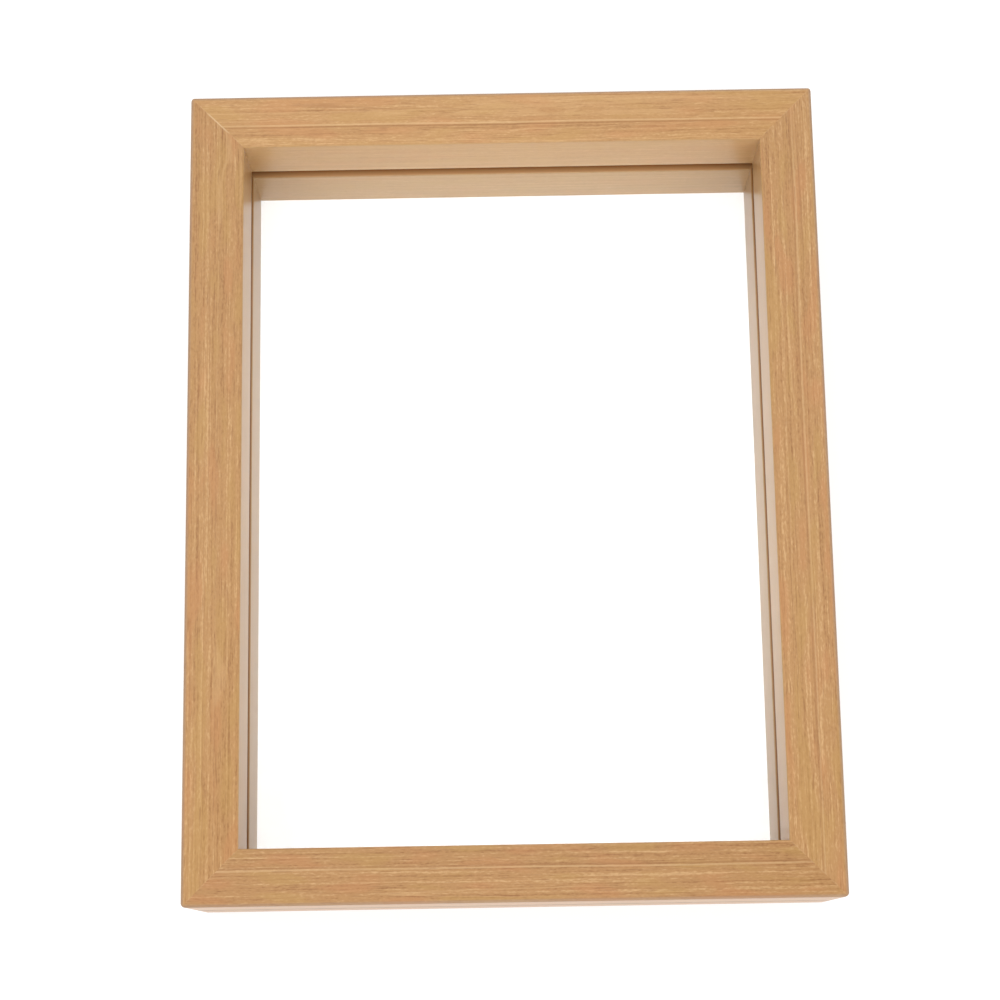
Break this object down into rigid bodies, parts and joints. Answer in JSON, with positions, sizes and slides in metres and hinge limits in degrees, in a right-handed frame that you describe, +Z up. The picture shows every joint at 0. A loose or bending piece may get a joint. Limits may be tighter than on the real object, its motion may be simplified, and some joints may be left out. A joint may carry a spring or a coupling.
{
  "type": "screen printing frame",
  "caption": "Deep wooden screen printing frame: a back frame that carries the stretched mesh, and a lift-off front frame, with a slot between them all round the opening.",
  "frame": {"origin": "centre of the frame's outline, on the plane of the mesh's printing side", "axes": "+Z up out of the front face with the mesh down, +Y along the long side towards the top rail, +X across"},
  "size_m": [0.178, 0.229, 0.0456],
  "materials": {
    "rail_wood": "satin, straight fine grain along each rail",
    "dowel_wood": "bare beech",
    "mesh_fabric": "fine plain-weave white polyester mesh",
    "cord_cotton": "twisted natural cotton",
    "nail_steel": "bright strip steel"
  },
  "bodies": {
    "back_frame": {"back_rail_bottom": "rail_wood", "back_rail_right": "rail_wood", "back_rail_top": "rail_wood", "back_rail_left": "rail_wood", "back_v_nail_bottom_left": "nail_steel", "back_v_nail_bottom_right": "nail_steel", "back_v_nail_top_right": "nail_steel", "back_v_nail_top_left": "nail_steel", "dowel_bottom_left": "dowel_wood", "dowel_bottom_right": "dowel_wood", "dowel_top_right": "dowel_wood", "dowel_top_left": "dowel_wood", "screen_mesh": "mesh_fabric", "mesh_cord": "cord_cotton"},
    "front_frame": {"front_rail_bottom": "rail_wood", "front_rail_right": "rail_wood", "front_rail_top": "rail_wood", "front_rail_left": "rail_wood", "front_v_nail_bottom_left": "nail_steel", "front_v_nail_bottom_right": "nail_steel", "front_v_nail_top_right": "nail_steel", "front_v_nail_top_left": "nail_steel"}
  },
  "joints": [
    {"name": "front_lift", "type": "slide", "parent": "back_frame", "child": "front_frame", "axis": [0, 0, 1], "range_m": [0, 0.06]}
  ]
}
